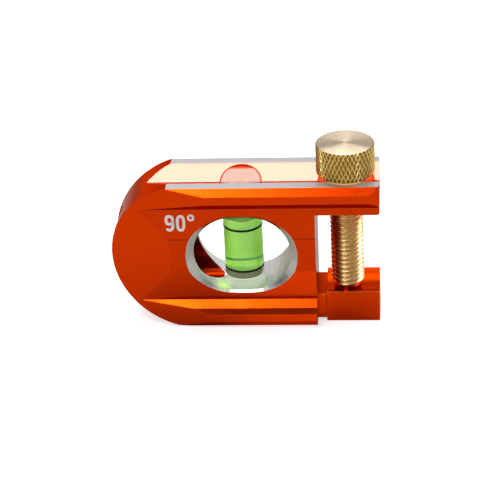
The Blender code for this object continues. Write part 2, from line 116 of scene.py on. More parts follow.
class Wiring:
    """Short calls for adding nodes to one tree."""

    def __init__(self, tree):
        self.tree = tree

    def add(self, kind, **settings):
        node = self.tree.nodes.new("ShaderNode" + kind)
        for key, value in settings.items():
            setattr(node, key, value)
        return node

    def link(self, source, target):
        self.tree.links.new(source, target)

    def feed(self, socket, value):
        if isinstance(value, bpy.types.NodeSocket):
            self.link(value, socket)
        else:
            socket.default_value = value

    def feed_all(self, sockets, **values):
        """Feeds sockets by title, where Base_Color stands for the title Base Color."""
        for title, value in values.items():
            self.feed(sockets[title.replace("_", " ")], value)

    def feed_in_order(self, node, *values):
        for socket, value in zip(node.inputs, values):
            self.feed(socket, value)
        return node

    def math(self, operation, first, second=0.0, third=0.0, clamp=False):
        node = self.add("Math", operation=operation, use_clamp=clamp)
        return self.feed_in_order(node, first, second, third).outputs[0]

    def product(self, first, *others):
        for other in others:
            first = self.math("MULTIPLY", first, other)
        return first

    def larger(self, first, *others):
        for other in others:
            first = self.math("MAXIMUM", first, other)
        return first

    def above(self, value, limit):
        return self.math("GREATER_THAN", value, limit)

    def below(self, value, limit):
        return self.math("LESS_THAN", value, limit)

    def off(self, value, middle):
        return self.math("ABSOLUTE", self.math("SUBTRACT", value, middle))

    def squares(self, first, second):
        return self.math("ADD", self.product(first, first), self.product(second, second))

    def vector(self, operation, *values):
        return self.feed_in_order(self.add("VectorMath", operation=operation), *values).outputs[0]

    def number(self, operation, *values):
        """Vector maths that gives one number, such as a length."""
        node = self.feed_in_order(self.add("VectorMath", operation=operation), *values)
        return node.outputs["Value"]

    def split(self, vector):
        return self.feed_in_order(self.add("SeparateXYZ"), vector).outputs

    def join(self, x=0.0, y=0.0, z=0.0):
        return self.feed_in_order(self.add("CombineXYZ"), x, y, z).outputs[0]

    def place(self):
        return self.add("TexCoord").outputs["Object"]

    def true_normal(self):
        return self.add("NewGeometry").outputs["True Normal"]

    def off_axis(self, axis_x):
        """Distance from the upright line through (axis_x, 0)."""
        return self.number("LENGTH", self.mapping(self.place(), (-axis_x, 0, 0), (1, 1, 0)))

    def ramp(self, value, low, high, to_low=0.0, to_high=1.0, smooth=True):
        node = self.add("MapRange", interpolation_type="SMOOTHSTEP" if smooth else "LINEAR")
        self.feed_all(node.inputs, Value=value, From_Min=low, From_Max=high,
                      To_Min=to_low, To_Max=to_high)
        return node.outputs["Result"]

    def blend(self, factor, first, second):
        node = self.add("Mix", data_type="RGBA")
        self.feed(node.inputs[0], factor)
        self.feed(node.inputs[6], first)
        self.feed(node.inputs[7], second)
        return node.outputs[2]

    def mix(self, factor, first, second):
        node = self.add("Mix", data_type="FLOAT")
        self.feed(node.inputs[0], factor)
        self.feed(node.inputs[2], first)
        self.feed(node.inputs[3], second)
        return node.outputs[0]

    def mix_vectors(self, factor, first, second):
        node = self.add("Mix", data_type="VECTOR")
        self.feed(node.inputs[0], factor)
        self.feed(node.inputs[4], first)
        self.feed(node.inputs[5], second)
        return node.outputs[1]

    def noise(self, place, scale, detail=2.0, roughness=0.5):
        node = self.add("TexNoise", noise_dimensions="3D")
        self.feed_all(node.inputs, Vector=place, Scale=scale, Detail=detail, Roughness=roughness)
        return node.outputs["Fac"]

    def mapping(self, place, location=(0, 0, 0), scale=(1, 1, 1)):
        node = self.add("Mapping")
        self.feed_all(node.inputs, Vector=place, Location=location, Scale=scale)
        return node.outputs["Vector"]

    def bump(self, height, strength, distance, normal=None):
        node = self.add("Bump")
        self.feed_all(node.inputs, Height=height, Strength=strength, Distance=distance)
        if normal is not None:
            self.link(normal, node.inputs["Normal"])
        return node.outputs["Normal"]

    def group(self, group, **values):
        node = self.add("Group", node_tree=group)
        self.feed_all(node.inputs, **values)
        return node.outputs


def new_group(name, inputs, outputs):
    """Shader node group from pairs of title and kind: itself, its Wiring, and its inside ends."""
    group = bpy.data.node_groups.new(name, "ShaderNodeTree")
    for title, kind in inputs:
        group.interface.new_socket(title, in_out="INPUT", socket_type="NodeSocket" + kind)
    for title, kind in outputs:
        group.interface.new_socket(title, in_out="OUTPUT", socket_type="NodeSocket" + kind)
    source = group.nodes.new("NodeGroupInput").outputs
    target = group.nodes.new("NodeGroupOutput").inputs
    return group, Wiring(group), source, target


def new_material(name):
    """Material with a fresh graph: itself, its Wiring, and its Principled shader's inputs."""
    material = bpy.data.materials.new(name)
    material.use_nodes = True
    return material, Wiring(material.node_tree), material.node_tree.nodes["Principled BSDF"].inputs


print("node helpers ready")

# %% [markdown]
# ## The studio
# Polished metal has hardly any colour of its own to show: it shows the room. So the room is made
# on purpose. A pale floor carries the object's shadow, and a white surround stands in for the
# paper sweep. Soft boxes hang around: the front one is reflected in the sloping edges that face
# the camera, the overhead one in the V groove, the back one in the top of the screw, and the
# side one and the strip in the screw's thread. The surround is dimmer towards the camera, where
# a real studio has the photographer instead of white paper, and brighter near the horizon.
# More lamps could do the last part, but lamps light everything. The horizon, and a patch of the
# floor, glow for reflected rays alone, so they change only what is mirrored.

# %% Studio values
SURROUND_WHITE = 1.0
FILL_FRONT = 0.176
FILL_BACK = 0.60
FILL_FADE = (-0.5, 0.5)
MIRRORED_BACK = 0.688
MIRRORED_FRONT = 0.24
MIRRORED_LEFT = 0.208
FRONT_FADE = (-0.80, 0.35)
LEFT_FADE = (-0.9, -0.5)
HORIZON_GLOW = 1.85
SKY_GLOW = 0.74
HORIZON_FADE = (0.15, 0.45)
FLOOR_TONE = (0.76, 0.76, 0.76, 1)
FLOOR_LIFT = 0.65
FLOOR_SIZE = 3.0
FLOOR_DROP = -0.05 * MM
PATCH_LIFT = 0.35
PATCH_LEFT = (-15 * MM, 8 * MM)
PATCH_RIGHT = (27 * MM, 19 * MM)
PATCH_NEAR = (-45 * MM, -24 * MM)
BOX_DISTANCE = 0.80
STEEP = 0.9
# Each soft box: its direction from the object, its width and depth in metres, and its radiance.
SOFT_BOXES = {
    "overhead_box": ((-0.08, 0.21, 0.97), 0.34, 0.24, 8.4),
    "front_box": ((-0.245, -0.42, 0.875), 0.34, 0.10, 14.5),
    "side_box": ((0.64, 0.36, 0.62), 0.36, 0.34, 5.5),
    "back_box": ((0.08, 0.69, 0.72), 0.70, 0.17, 3.4),
    "strip_box": ((-0.40, -0.80, 0.35), 0.09, 0.50, 5.5),
}
print("soft boxes:", list(SOFT_BOXES))


# %% Surround, floor and soft boxes
def studio_surround():
    """World: white to the eye and through glass, dimmer towards the front for all else.

    In reflections it is dimmer towards the left too, and brighter near the horizon, where the
    paper sweep is lit. Its fill falls on the floor from behind, so that the floor in front of the
    object lies in its soft shadow. Each fade is a pair of limits on one part of the direction.
    """
    world = bpy.data.worlds.new("studio_surround")
    world.use_nodes = True
    world.node_tree.nodes.clear()
    w = Wiring(world.node_tree)
    path = w.add("LightPath").outputs
    x, y, z = w.split(w.add("TexCoord").outputs["Generated"])
    fill = w.ramp(y, *FILL_FADE, FILL_FRONT, FILL_BACK, smooth=False)
    front = w.ramp(y, *FRONT_FADE, MIRRORED_FRONT, MIRRORED_BACK)
    left = w.ramp(x, *LEFT_FADE, MIRRORED_LEFT / MIRRORED_BACK, 1.0)
    low = w.ramp(z, *HORIZON_FADE, HORIZON_GLOW, SKY_GLOW, smooth=False)
    unseen = w.mix(path["Is Glossy Ray"], fill, w.product(front, left, low))
    seen = w.larger(path["Is Camera Ray"], path["Is Transmission Ray"])
    background = w.add("Background")
    w.feed_all(background.inputs, Color=WHITE, Strength=w.mix(seen, unseen, SURROUND_WHITE))
    w.link(background.outputs[0], w.add("OutputWorld").inputs["Surface"])
    bpy.context.scene.world = world
    return world


def studio_floor():
    """A level square just under the object, matt, with a glow that only the eye sees.

    A patch before the right half glows in reflections only, as if a card lay there.
    """
    half = FLOOR_SIZE / 2
    corners = [(-half, -half, FLOOR_DROP), (half, -half, FLOOR_DROP),
               (half, half, FLOOR_DROP), (-half, half, FLOOR_DROP)]
    mesh = bpy.data.meshes.new("floor")
    mesh.from_pydata(corners, [], [(0, 1, 2, 3)])
    floor = bpy.data.objects.new("floor", mesh)
    bpy.context.scene.collection.objects.link(floor)
    paper, w, shader = new_material("paper_sweep")
    path = w.add("LightPath").outputs
    x, y, _ = w.split(w.place())
    patch = w.product(w.ramp(x, *PATCH_LEFT), w.ramp(x, *PATCH_RIGHT), w.ramp(y, *PATCH_NEAR),
                      PATCH_LIFT)
    glow = w.math("ADD", w.product(path["Is Camera Ray"], FLOOR_LIFT),
                  w.product(path["Is Glossy Ray"], patch))
    w.feed_all(shader, Base_Color=FLOOR_TONE, Roughness=0.9, Specular_IOR_Level=0.1,
               Emission_Color=WHITE, Emission_Strength=glow)
    mesh.materials.append(paper)
    return floor


def soft_box(name, direction, width, depth, radiance):
    """Rectangular lamp along a direction from the object, turned to face it.

    Its depth runs along the part of a hint that is square to the direction: upright for most
    lamps, and away from the camera for a lamp overhead. Power is radiance times pi times area.
    """
    towards = Vector(direction).normalized()
    hint = Vector((0, 1, 0)) if towards.z > STEEP else Vector((0, 0, 1))
    along = (hint - hint.dot(towards) * towards).normalized()
    turn = Matrix((along.cross(towards), along, towards)).transposed().to_4x4()
    data = bpy.data.lights.new(name, "AREA")
    data.shape = "RECTANGLE"
    data.size = width
    data.size_y = depth
    data.energy = radiance * math.pi * width * depth
    lamp = bpy.data.objects.new(name, data)
    lamp.matrix_world = Matrix.Translation(VIEW_TARGET + towards * BOX_DISTANCE) @ turn
    bpy.context.scene.collection.objects.link(lamp)
    return lamp


studio_surround()
studio_floor()
for box_name, box_values in SOFT_BOXES.items():
    soft_box(box_name, *box_values)
bpy.context.scene.view_settings.view_transform = "Standard"
print("studio ready")

# %% [markdown]
# ## Turned and gridded surfaces
# The screw and the vial are bodies of revolution, so one function serves them all. A grid of
# points has one row for each height and one column for each angle. Where the radius is the same
# all round, the row is a circle; a thread or a knurl lets it change with the angle. Whole arrays
# are worked out at once with numpy, which is fast and keeps the formula in one line.

# %% Surface helpers
WELD = 0.0001 * MM


def piece_from_arrays(name, points, faces, material):
    """Mesh object from an array of points and one of quads; doubles at poles are merged."""
    mesh = bpy.data.meshes.new(name)
    mesh.from_pydata(points.reshape(-1, 3).tolist(), [], faces.tolist())
    bm = bmesh.new()
    bm.from_mesh(mesh)
    bmesh.ops.remove_doubles(bm, verts=bm.verts, dist=WELD)
    bmesh.ops.dissolve_degenerate(bm, edges=bm.edges, dist=WELD)
    bm.to_mesh(mesh)
    bm.free()
    mesh.materials.append(material)
    piece = bpy.data.objects.new(name, mesh)
    bpy.context.scene.collection.objects.link(piece)
    return piece


def ring_quads(rows, columns):
    """Quads of a grid whose last column joins its first: one quad for each row gap and column."""
    row, column = np.meshgrid(np.arange(rows - 1), np.arange(columns), indexing="ij")
    following = (column + 1) % columns
    corners = [row * columns + column, row * columns + following,
               (row + 1) * columns + following, (row + 1) * columns + column]
    return np.stack(corners, -1).reshape(-1, 4)


def turned_piece(name, axis_x, radius, height, material, smooth_below=40):
    """Closed body of revolution about an upright axis.

    Point (i, j) is (axis + radius_ij cos t_j, radius_ij sin t_j, height_ij) with t_j a full turn
    shared out evenly. Rows run from the middle of the underside, outwards, up and back in, so
    that the faces point outwards. Edges sharper than smooth_below degrees stay crisp.
    """
    columns = radius.shape[1]
    angle = np.arange(columns) * 2 * math.pi / columns
    points = np.stack([axis_x + radius * np.cos(angle), radius * np.sin(angle),
                       np.broadcast_to(height, radius.shape)], -1)
    piece = piece_from_arrays(name, points, ring_quads(*radius.shape), material)
    piece.data.shade_smooth()
    piece.data.set_sharp_from_angle(angle=math.radians(smooth_below))
    return piece


def plain_profile(outline, columns):
    """Radius and height grids of a profile given as (radius, height) pairs in metres."""
    radius, height = np.array(outline).T
    return np.repeat(radius[:, None], columns, 1), height[:, None]


print("helpers ready")

# %% [markdown]
# ## Shared effects: worn and highlit edges, and machining marks
# Only the block uses these two effects, but each is a small graph with a job of its own, so it
# is a node group with named inputs that another metal could use with its own values. The first
# marks edges: a bevelled normal is compared with the true one, and where they part, a corner is
# near. Anodising is thin and rubbed there, so it looks paler, and the same pale colour is also a
# painted highlight, the thin line of light that a lamp draws along an edge. The second gives
# fine marks, stretched along one direction, as a cutter leaves them, and a slow cloudiness.

# %% Edge group
EDGE_TURN = (0.998, 0.90)
EDGE_PATCH_SCALE = 900.0
CLOUD_SCALE = 140.0
PATCH_SPREAD = (0.35, 0.65)


def edge_group():
    """Edge mask: 1 where the normal bevelled over Radius turns away from the true normal."""
    group, w, source, target = new_group("edge_wear_and_highlight",
                                         [("Radius", "Float"), ("Patchiness", "Float")],
                                         [("Mask", "Float"), ("Normal", "Vector")])
    bevel = w.add("Bevel", samples=6)
    w.link(source["Radius"], bevel.inputs["Radius"])
    bevelled = bevel.outputs["Normal"]
    turned = w.ramp(w.number("DOT_PRODUCT", bevelled, w.true_normal()), *EDGE_TURN)
    patches = w.ramp(w.noise(w.place(), EDGE_PATCH_SCALE, 3.0), *PATCH_SPREAD)
    kept = w.mix(source["Patchiness"], 1.0, patches)
    w.feed_all(target, Mask=w.product(turned, kept), Normal=bevelled)
    return group


def marks_group():
    """Cutter marks: noise stretched by Stretch, from 0 to 1, and a slow cloudiness beside it."""
    group, w, source, target = new_group("cutter_marks", [("Stretch", "Vector")],
                                         [("Marks", "Float"), ("Cloud", "Float")])
    place = w.place()
    stretched = w.vector("MULTIPLY", place, source["Stretch"])
    w.feed_all(target, Marks=w.noise(stretched, 1.0, 3.0, 0.6), Cloud=w.noise(place, CLOUD_SCALE))
    return group


edge_wear_and_highlight = edge_group()
cutter_marks = marks_group()
print("groups:", [g.name for g in bpy.data.node_groups])

# %% [markdown]
# ## The block: anodised orange, machined bare where it matters
# The block is milled from aluminium, blasted to a satin, and anodised orange. Then the two lands
# beside the V groove, the window and the vial's bore are cut once more, so bare metal shows.
# Two materials with assigned faces would work, but the imported mesh is loose triangles that must
# not change. So one material finds the bare zones from the place of each point: a height for the
# lands, the distance to the window's stadium outline, and the distance to the vial's axis. The
# same way it finds the faces that get a painted shade, the jaw, whose edges get a stronger painted
# highlight, and the low wall of the window, which gets a faint painted light and a small painted
# green glow for the light that the dyed liquid throws.

# %% Block values
LAND_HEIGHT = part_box("level_body")[1].z
LAND_INNER = 6.6 * MM
GROOVE_ROOT = 43.55 * MM
BORE_TOP = 42.6 * MM
LEDGE_LIMIT = 8.4 * MM
LEDGE_LEAN = 0.28
WINDOW_MIDDLE = (-1.0 * MM, 23.6 * MM)
WINDOW_RADIUS = 12.15 * MM
WINDOW_STRAIGHT = 2.4 * MM
WINDOW_STRAIGHT_DEPTH = 8.2 * MM
TOP_FLARE = (0.62 * WINDOW_RADIUS, 0.86 * WINDOW_RADIUS)
VIAL_BORE = 6.25 * MM
MIDDLE_FACET = (10.15 * MM, 18.6 * MM, 29.4 * MM)
SLOT_HALF = 5.7 * MM
SLOT_LOW = 19.0 * MM
SLOT_END = -7.0 * MM
STOP_FACE = 21.0 * MM
JAW_START = STOP_FACE + 0.6 * MM
JAW_LIMIT = 12.0 * MM
ZONE_EDGE = 0.06 * MM
ZONE_FADE = 1.5 * ZONE_EDGE
LEVEL, SLOPING, LEANING = 0.98, 0.7, 0.3
print("lands at", LAND_HEIGHT)

# %% Block finish
ORANGE = (0.62, 0.038, 0.001, 1)
ORANGE_CLOUDY = (0.68, 0.044, 0.001, 1)
# Pale orange on edges: partly wear, partly a painted highlight.
ORANGE_WEAR_AND_HIGHLIGHT = (0.95, 0.40, 0.05, 1)
CLOUD_SHARE = 0.25
BARE_METAL = (0.52, 0.52, 0.54, 1)
BARE_WINDOW = (0.61, 0.645, 0.59, 1)
CUTTER_MARK = (0.2, 0.2, 0.2, 1)
MARK_STRETCH = (40, 9000, 40)
SATIN_SCALE = 5200.0
NOISE_SPREAD = (0.3, 0.7)
EDGE_RADIUS = 0.18 * MM
JAW_EDGE_GAIN = 0.20 * MM
EDGE_PATCHINESS = 0.35
# Share of that pale edge colour, wear and painted highlight, and the jaw's stronger painted
# highlight.
EDGE_WEAR_HIGHLIGHT_SHARE = 0.45
JAW_HIGHLIGHT_GAIN = 1.2
ORANGE_ROUGH = (0.15, 0.20)
SATIN_ROUGH = 0.10
WINDOW_ROUGH = (0.26, 0.40)
LAND_ROUGH = (0.28, 0.34)
MARK_SHARE = 0.10
# Shares of colour that painted shade takes away: middle facet, its crease, slot floor, stop face.
FACET_SHADE = 0.09
CREASE_RISE = 0.12 * MM
CREASE_HALF = 0.22 * MM
CREASE_REACH = 0.2 * MM
CREASE_SHADE = 0.55
SLOT_SHADE = 0.50
STOP_SHADE = 0.50
LAND_CHALK = 0.45
# Painted light: a green patch that the dyed liquid throws beside the vial, and a faint lift of the
# window's low wall.
PAINTED_GREEN_PATCH = (-7.3 * MM, 0.0, 12.2 * MM)
PAINTED_GREEN_FADE = (3.8 * MM, 0.2 * MM)
PAINTED_GREEN_DEPTH_FADE = (-0.5 * MM, -5.5 * MM)
PAINTED_GREEN_LIGHT = (0.33, 0.41, 0.15, 1)
PAINTED_WALL_FADE = (14.2 * MM, 12.4 * MM)
PAINTED_WALL_LIGHT = (0.10, 0.06, 0.11, 1)
SHEEN_TINT = (0.52, 0.42, 0.38, 1)
COAT_BEND = 1.7
COAT_ROUGH = 0.12
COAT_GRAZING = (0.65, 0.90, 1.0, 0.05)
FLARE_LIMIT = 0.35
GRAIN_STRENGTH = 0.25
GRAIN_DEPTH = 0.004 * MM
print("finish values for the block ready")


# %% Block masks
def window_mask(w, x, side, z):
    """1 inside the window's outline, apart from the top of its flare, which stays orange.

    The outline is the set of points whose distance to a short level line is its radius, and the
    radius grows one for one with depth past the flare's start.
    """
    along = w.larger(w.math("SUBTRACT", w.off(x, WINDOW_MIDDLE[0]), WINDOW_STRAIGHT), 0.0)
    rise = w.math("SUBTRACT", z, WINDOW_MIDDLE[1])
    flare = w.larger(w.math("SUBTRACT", side, WINDOW_STRAIGHT_DEPTH), 0.0)
    gap = w.math("SUBTRACT", w.math("SQRT", w.squares(along, rise)),
                 w.math("ADD", flare, WINDOW_RADIUS))
    top_flare = w.product(w.above(flare, ZONE_EDGE), w.ramp(rise, *TOP_FLARE))
    return w.product(w.ramp(gap, ZONE_FADE, ZONE_EDGE), w.math("SUBTRACT", 1.0, top_flare))


def bore_mask(w, x, y, z):
    """1 in the vial's bore, below the groove: near enough to the vial's axis."""
    from_axis = w.math("SQRT", w.squares(w.math("SUBTRACT", x, WINDOW_MIDDLE[0]), y))
    near = w.ramp(from_axis, VIAL_BORE + ZONE_FADE, VIAL_BORE + ZONE_EDGE)
    return w.product(near, w.ramp(z, BORE_TOP, BORE_TOP - ZONE_EDGE))


def groove_mask(w, side, z):
    """1 on the V's flanks, whose height climbs in a straight line from the root to the lands."""
    climb = (LAND_HEIGHT - GROOVE_ROOT) / LAND_INNER
    flank = w.math("MULTIPLY_ADD", side, climb, GROOVE_ROOT)
    return w.product(w.ramp(w.off(z, flank), ZONE_FADE, ZONE_EDGE),
                     w.ramp(side, LAND_INNER, LAND_INNER - ZONE_EDGE))


def shade_mask(w, facing, x, side, z):
    """Share of colour taken away as painted shade: middle facet, crease over it, slot floor, stop.
    """
    front, foot, head = MIDDLE_FACET
    on_facet = w.product(w.below(w.off(side, front), ZONE_EDGE), w.above(z, foot),
                         w.below(z, head), FACET_SHADE)
    crease = w.ramp(w.off(z, head + CREASE_RISE), CREASE_HALF, 0.3 * CREASE_HALF)
    on_crease = w.product(crease, w.above(side, front - CREASE_REACH),
                          w.below(side, front + ZONE_EDGE), CREASE_SHADE)
    in_slot = w.product(w.below(side, SLOT_HALF), w.below(x, SLOT_END),
                        w.above(facing["Z"], LEANING), w.below(z, SLOT_LOW), SLOT_SHADE)
    on_stop = w.product(w.above(facing["X"], STEEP), w.below(w.off(x, STOP_FACE), 5 * ZONE_EDGE),
                        STOP_SHADE)
    return w.larger(on_facet, on_crease, in_slot, on_stop)


def zone_group():
    """Masks of the cut zones: Bare for lands, window and bore, Groove for the V's two flanks.

    Tilt is a vector to add to the normal of the lower ledge, which leans it outwards. Shade is
    the share of colour that painted shade takes from darker spots.
    """
    group, w, _, target = new_group("cut_zones", [], [("Bare", "Float"), ("Groove", "Float"),
                                                      ("Tilt", "Vector"), ("Shade", "Float")])
    x, y, z = w.split(w.place())
    side = w.math("ABSOLUTE", y)
    facing = w.split(w.true_normal())
    land = w.product(w.above(facing["Z"], LEVEL), w.above(z, LAND_HEIGHT - ZONE_EDGE))
    bare = w.larger(land, window_mask(w, x, side, z), bore_mask(w, x, y, z))
    flanks = w.product(groove_mask(w, side, z), w.math("SUBTRACT", 1.0, bare))
    ledge = w.product(w.above(facing["Z"], SLOPING), w.below(z, LEDGE_LIMIT))
    lean = w.product(ledge, w.math("SIGN", y), LEDGE_LEAN)
    w.feed_all(target, Bare=bare, Groove=flanks, Tilt=w.join(y=lean),
               Shade=shade_mask(w, facing, x, side, z))
    return group


cut_zones = zone_group()
print("zones group has", len(cut_zones.nodes), "nodes")


# %% Block material
def block_colour(w, zones, marks, edges, on_jaw, on_top):
    """Cloudy orange, paler on edges from wear and a painted highlight and darker in painted shade,
    or bare metal with marks.
    """
    tint = w.blend(w.product(marks["Cloud"], CLOUD_SHARE), ORANGE, ORANGE_CLOUDY)
    # Paler edges: partly wear, partly a painted highlight, which is stronger on the jaw.
    wear_highlight_share = w.product(edges["Mask"], w.math("MULTIPLY_ADD", zones["Groove"], -EDGE_WEAR_HIGHLIGHT_SHARE, EDGE_WEAR_HIGHLIGHT_SHARE))
    jaw_highlight_boost = w.math("MULTIPLY_ADD", on_jaw, JAW_HIGHLIGHT_GAIN, 1.0)
    pale_edged = w.blend(w.math("MULTIPLY", wear_highlight_share, jaw_highlight_boost, clamp=True), tint, ORANGE_WEAR_AND_HIGHLIGHT)
    # Painted shade: the Shade share of the colour goes to black.
    shaded = w.blend(zones["Shade"], pale_edged, BLACK)
    cut = w.blend(on_top, BARE_WINDOW, BARE_METAL)
    marked = w.blend(w.ramp(marks["Marks"], *NOISE_SPREAD, MARK_SHARE, 0.0), cut, CUTTER_MARK)
    return w.blend(zones["Bare"], shaded, marked)


def block_roughness(w, zones, marks, satin, on_top):
    """Satin on the orange, smoother with fine marks where metal is bare."""
    cloudy = w.ramp(marks["Cloud"], *NOISE_SPREAD, *ORANGE_ROUGH)
    orange = w.math("ADD", w.product(satin, SATIN_ROUGH), cloudy)
    window = w.ramp(marks["Marks"], *NOISE_SPREAD, *WINDOW_ROUGH)
    land = w.ramp(marks["Marks"], *NOISE_SPREAD, *LAND_ROUGH)
    return w.mix(zones["Bare"], orange, w.mix(on_top, window, land))


def block_metallic(w, bare, y, on_top):
    """1, and less where bare metal is chalky from the cutter: on the lands and the flare."""
    facing_up = w.split(w.true_normal())["Z"]
    flare = w.product(w.below(facing_up, FLARE_LIMIT),
                      w.above(w.math("ABSOLUTE", y), WINDOW_STRAIGHT_DEPTH))
    return w.math("MULTIPLY_ADD", w.product(bare, w.larger(on_top, flare)), -LAND_CHALK, 1.0)


def block_painted_light(w, place, bare, y, z):
    """Painted green light that the dyed liquid throws beside the vial, over a faint painted lift of
    the low wall.

    The patch fades with the distance from a line that runs in depth, and towards the back.
    """
    from_patch = w.number("LENGTH", w.mapping(place, [-c for c in PAINTED_GREEN_PATCH], (1, 0, 1)))
    patch = w.product(w.ramp(from_patch, *PAINTED_GREEN_FADE), w.ramp(y, *PAINTED_GREEN_DEPTH_FADE), bare)
    wall_light = w.blend(w.product(bare, w.ramp(z, *PAINTED_WALL_FADE)), BLACK, PAINTED_WALL_LIGHT)
    return w.blend(patch, wall_light, PAINTED_GREEN_LIGHT)


def block_normal(w, zones, edges, grain):
    """Bevelled normal, crisp where cut, leaned on the lower ledge, with a fine grain on top."""
    cut = w.larger(zones["Bare"], zones["Groove"])
    eased = w.mix_vectors(cut, edges["Normal"], w.add("NewGeometry").outputs["Normal"])
    leaned = w.vector("NORMALIZE", w.vector("ADD", eased, zones["Tilt"]))
    return w.bump(grain, GRAIN_STRENGTH, GRAIN_DEPTH, leaned)


def block_material():
    """Orange anodised satin, bare cut metal in the zones, and a bright coat in the V groove."""
    material, w, shader = new_material("anodised_block")
    zones = w.group(cut_zones)
    marks = w.group(cutter_marks, Stretch=MARK_STRETCH)
    place = w.place()
    x, y, z = w.split(place)
    on_jaw = w.product(w.above(x, JAW_START), w.below(z, JAW_LIMIT))
    on_top = w.above(z, GROOVE_ROOT)
    edges = w.group(edge_wear_and_highlight, Radius=w.math("MULTIPLY_ADD", on_jaw, JAW_EDGE_GAIN, EDGE_RADIUS),
                    Patchiness=EDGE_PATCHINESS)
    satin = w.noise(place, SATIN_SCALE)
    bare = zones["Bare"]
    grazing = w.ramp(w.add("LayerWeight").outputs["Facing"], *COAT_GRAZING)
    w.feed_all(shader, Base_Color=block_colour(w, zones, marks, edges, on_jaw, on_top),
               Roughness=block_roughness(w, zones, marks, satin, on_top),
               Metallic=block_metallic(w, bare, y, on_top),
               Emission_Color=block_painted_light(w, place, bare, y, z), Emission_Strength=1.0,
               Specular_Tint=SHEEN_TINT, Coat_IOR=COAT_BEND, Coat_Roughness=COAT_ROUGH,
               Coat_Weight=w.product(zones["Groove"], grazing),
               Normal=block_normal(w, zones, edges, w.mix(bare, satin, marks["Marks"])))
    return material


anodised = block_material()
nodes["level_body"].data.materials.clear()
nodes["level_body"].data.materials.append(anodised)
print("block material has", len(anodised.node_tree.nodes), "nodes")

# %% [markdown]
# ## The disc over the vial
# A pale disc of cast resin closes the vial's bore and lies flush with the V groove. Resin lets
# light a little way in, which Principled's subsurface weight does without any extra geometry.
# Its rim and the level strip at the back carry a painted orange light, bounced from the orange
# round them, and the strip at the front a painted pale glow. A thin ring of its own geometry
# could show that, but a mask on the distance from the axis is enough.

# %% Disc
DISC_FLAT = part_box("bore_plug")[1].z
RESIN = (0.61, 0.30, 0.205, 1)
RESIN_CLOUDY = (0.63, 0.315, 0.215, 1)
# Painted light: a pale glow on the front strip, and orange light bounced from the block on the rim
# and back strip.
PAINTED_RESIN_GLOW = (0.22, 0.11, 0.08, 1)
PAINTED_RIM_TONE = (0.35, 0.03, 0.001, 1)
PAINTED_RIM_GLOW = (0.52, 0.05, 0.0, 1)
PAINTED_RIM_FADE = (VIAL_BORE - 0.52 * MM, VIAL_BORE - 0.36 * MM)
PAINTED_RIM_FRONT = -4.0 * MM
RESIN_ROUGH = (0.25, 0.28)
PAINTED_RIM_ROUGH = 0.85
RESIN_CLOUD_SCALE = 220.0
RESIN_GRAIN_SCALE = 1500.0
RESIN_GRAIN_DEPTH = 0.01 * MM
RESIN_REACH = 0.8 * MM


def resin_material():
    """Pale pink-cream resin, glossy, with faint clouds and painted orange light on its rim.

    The level strip at the back has the same painted orange light, the one at the front a pale
    painted glow.
    """
    material, w, shader = new_material("cast_resin")
    place = w.place()
    cloud = w.ramp(w.noise(place, RESIN_CLOUD_SCALE, 3.0), *PATCH_SPREAD)
    _, y, z = w.split(place)
    flat = w.above(z, DISC_FLAT - ZONE_EDGE)
    rim = w.ramp(w.off_axis(WINDOW_MIDDLE[0]), *PAINTED_RIM_FADE)
    painted_rim = w.larger(w.product(rim, w.above(y, PAINTED_RIM_FRONT)), w.product(flat, w.above(y, 0.0)))
    near_painted_glow = w.blend(w.product(flat, w.below(y, 0.0)), BLACK, PAINTED_RESIN_GLOW)
    pale = w.blend(cloud, RESIN, RESIN_CLOUDY)
    glossy = w.ramp(cloud, 0.0, 1.0, *RESIN_ROUGH)
    grain = w.noise(place, RESIN_GRAIN_SCALE)
    w.feed_all(shader, Base_Color=w.blend(painted_rim, pale, PAINTED_RIM_TONE),
               Roughness=w.mix(painted_rim, glossy, PAINTED_RIM_ROUGH),
               Emission_Color=w.blend(painted_rim, near_painted_glow, PAINTED_RIM_GLOW), Emission_Strength=1.0,
               Subsurface_Weight=0.15, Subsurface_Scale=RESIN_REACH,
               Normal=w.bump(grain, 0.15, RESIN_GRAIN_DEPTH))
    return material


resin = resin_material()
nodes["bore_plug"].data.materials.clear()
nodes["bore_plug"].data.materials.append(resin)
print("disc's flat strips at", DISC_FLAT)

# %% [markdown]
# ## Brass
# The screw is turned from bright brass. Its top shows fans of light, because the turning tool
# leaves circles finer than the eye can see, and each circle mirrors across itself. Drawn rings
# could not do that. An anisotropic shader with a tangent that runs round the axis can. Light
# that bounces between the V groove and the head is drawn as a glow of the head's underside.

# %% Brass materials
SCREW_LOW, SCREW_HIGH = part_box("thumb_screw")
SCREW_X = (SCREW_LOW.x + SCREW_HIGH.x) / 2
BRASS = (0.80, 0.59, 0.20, 1)
BRASS_DARK = (0.70, 0.48, 0.14, 1)
BRASS_TURNED = (0.71, 0.57, 0.41, 1)
BRASS_TURNED_DARK = (0.66, 0.53, 0.38, 1)
BRASS_PALE = (0.82, 0.64, 0.34, 1)
BRASS_PALE_DARK = (0.72, 0.50, 0.20, 1)
